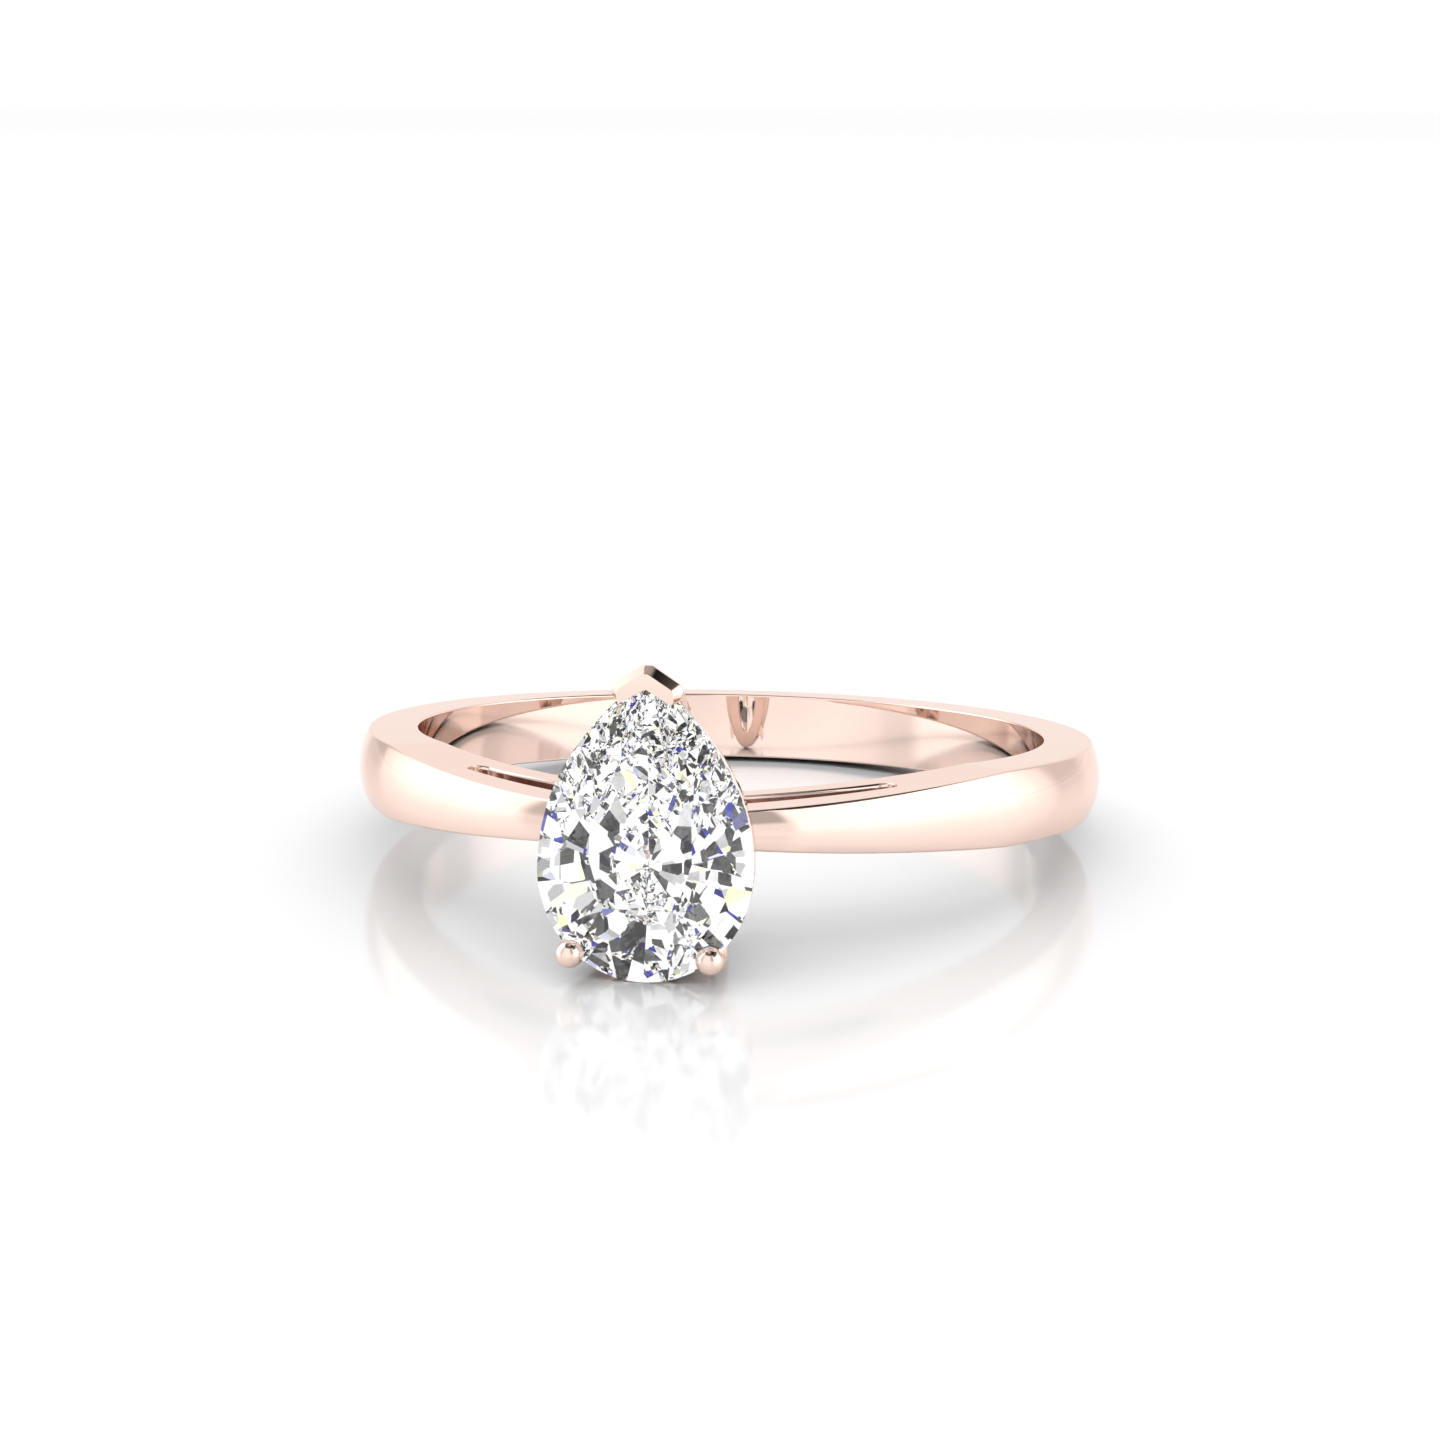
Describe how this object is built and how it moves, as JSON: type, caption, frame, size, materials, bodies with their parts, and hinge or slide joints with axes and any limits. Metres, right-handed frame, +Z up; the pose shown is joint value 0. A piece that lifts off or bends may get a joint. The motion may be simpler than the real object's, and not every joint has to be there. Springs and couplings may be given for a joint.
{
  "type": "engagement ring",
  "caption": "Pear-cut solitaire engagement ring in rose gold, with a tapered domed band, split shoulders and an open basket head, lying on its side.",
  "frame": {"origin": "centre of the ring's footprint on the surface it lies on", "axes": "+Z up from that surface, +Y from the stone towards the back of the shank, +X from the left shoulder to the right one; the finger axis leans 6.16 degrees from +Z"},
  "size_m": [0.02, 0.0238, 0.0073],
  "materials": {
    "gold_band": "mirror-polished 14 karat rose gold, broad smooth surfaces",
    "gold_head": "mirror-polished 14 karat rose gold, small claws and rails",
    "diamond": "colourless brilliant-cut diamond with polished facets"
  },
  "bodies": {
    "root": {"shank": "gold_band", "shoulder_left": "gold_band", "shoulder_right": "gold_band", "under_bridge": "gold_band", "base_rail": "gold_head", "seat_rail": "gold_head", "v_claw": "gold_head", "claw_left": "gold_head", "claw_right": "gold_head", "stone": "diamond"}
  },
  "joints": []
}
